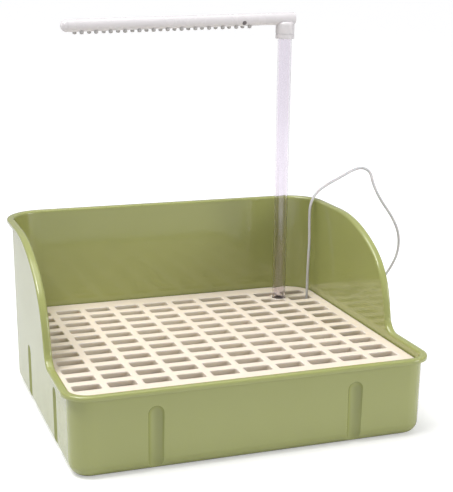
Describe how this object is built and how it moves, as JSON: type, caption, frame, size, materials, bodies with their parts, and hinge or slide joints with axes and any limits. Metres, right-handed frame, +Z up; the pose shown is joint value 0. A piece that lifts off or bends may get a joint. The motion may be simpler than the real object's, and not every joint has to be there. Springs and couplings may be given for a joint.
{
  "type": "pet shower bath",
  "caption": "Shower bath for small pets: high-backed tub with a slotted grid over a reservoir, a submersible pump, a riser tube and a spray bar.",
  "frame": {"origin": "on the floor, in the middle of the rim's outline", "axes": "+Z up, +X across the tub towards the riser's side, +Y from the low front to the high back"},
  "size_m": [0.4471, 0.3725, 0.3809],
  "materials": {
    "sage_plastic": "glossy moulded, faintly wavy",
    "cream_plastic": "satin moulded",
    "clear_plastic": "clear extruded tube",
    "white_plastic": "glossy moulded",
    "grey_rubber": "soft matt",
    "dark_rubber": "soft matt",
    "plug_rubber": "soft matt",
    "pump_plastic": "fine spark-eroded texture",
    "impeller_plastic": "smooth moulded",
    "ceramic": "ground ceramic",
    "magnet": "moulded ferrite",
    "core_steel": "punched lamination edges",
    "copper_wire": "enamelled winding",
    "epoxy": "cast resin",
    "foam": "open-cell foam",
    "cord_white": "soft extruded jacket",
    "plated_steel": "bright plated",
    "gold_contact": "plated"
  },
  "bodies": {
    "root": {"tub": "sage_plastic", "pump_housing": "pump_plastic", "impeller_cover": "pump_plastic", "front_bush": "dark_rubber", "rear_bush": "dark_rubber", "rotor_shaft": "ceramic", "stator_core": "core_steel", "stator_winding": "copper_wire", "potting": "epoxy", "outlet_seal": "dark_rubber", "cable_gland": "cord_white", "suction_cups": "dark_rubber", "cord": "cord_white", "cord_coil": "cord_white", "cord_tie": "cord_white", "cord_tail": "cord_white", "plug_boot": "cord_white", "plug_body": "cord_white", "plug_shell": "plated_steel", "plug_tongue": "white_plastic", "plug_contacts": "gold_contact"},
    "grid_panel": {"grid": "cream_plastic"},
    "rotor": {"impeller": "impeller_plastic", "rotor_magnet": "magnet"},
    "intake": {"intake_cover": "pump_plastic", "filter_sponge": "foam"},
    "knob": {"flow_knob": "pump_plastic"},
    "riser": {"riser_tube": "clear_plastic"},
    "elbow_body": {"elbow": "white_plastic", "elbow_seal": "dark_rubber", "bar_seal": "dark_rubber"},
    "bar": {"spray_bar": "white_plastic", "front_nozzles": "grey_rubber", "rear_nozzles": "grey_rubber", "port_plug": "plug_rubber"},
    "cap": {"bar_end_cap": "white_plastic"}
  },
  "joints": [
    {"name": "grid_lift", "type": "slide", "parent": "root", "child": "grid_panel", "axis": [0, 0, 1], "range_m": [0, 0.03]},
    {"name": "riser_lift", "type": "slide", "parent": "root", "child": "riser", "axis": [0, 0, 1], "range_m": [0, 0.03]},
    {"name": "elbow_swivel", "type": "hinge", "parent": "riser", "child": "elbow_body", "pos_m": [0.1202, 0.1021, 0.36], "axis": [0, 0, 1], "continuous": true},
    {"name": "bar_roll", "type": "hinge", "parent": "elbow_body", "child": "bar", "pos_m": [0.1202, 0.1021, 0.3744], "axis": [-0.9997, 0, -0.0262], "continuous": true},
    {"name": "cap_pull", "type": "slide", "parent": "bar", "child": "cap", "axis": [-0.9997, 0, -0.0262], "range_m": [0, 0.01]},
    {"name": "impeller_spin", "type": "hinge", "parent": "root", "child": "rotor", "pos_m": [0.1202, 0.1021, 0.024], "axis": [1, 0, 0], "continuous": true},
    {"name": "intake_pull", "type": "slide", "parent": "root", "child": "intake", "axis": [-1, 0, 0], "range_m": [0, 0.009]},
    {"name": "knob_turn", "type": "hinge", "parent": "intake", "child": "knob", "pos_m": [0.0942, 0.1021, 0.024], "axis": [1, 0, 0], "range_deg": [0, 90]}
  ]
}
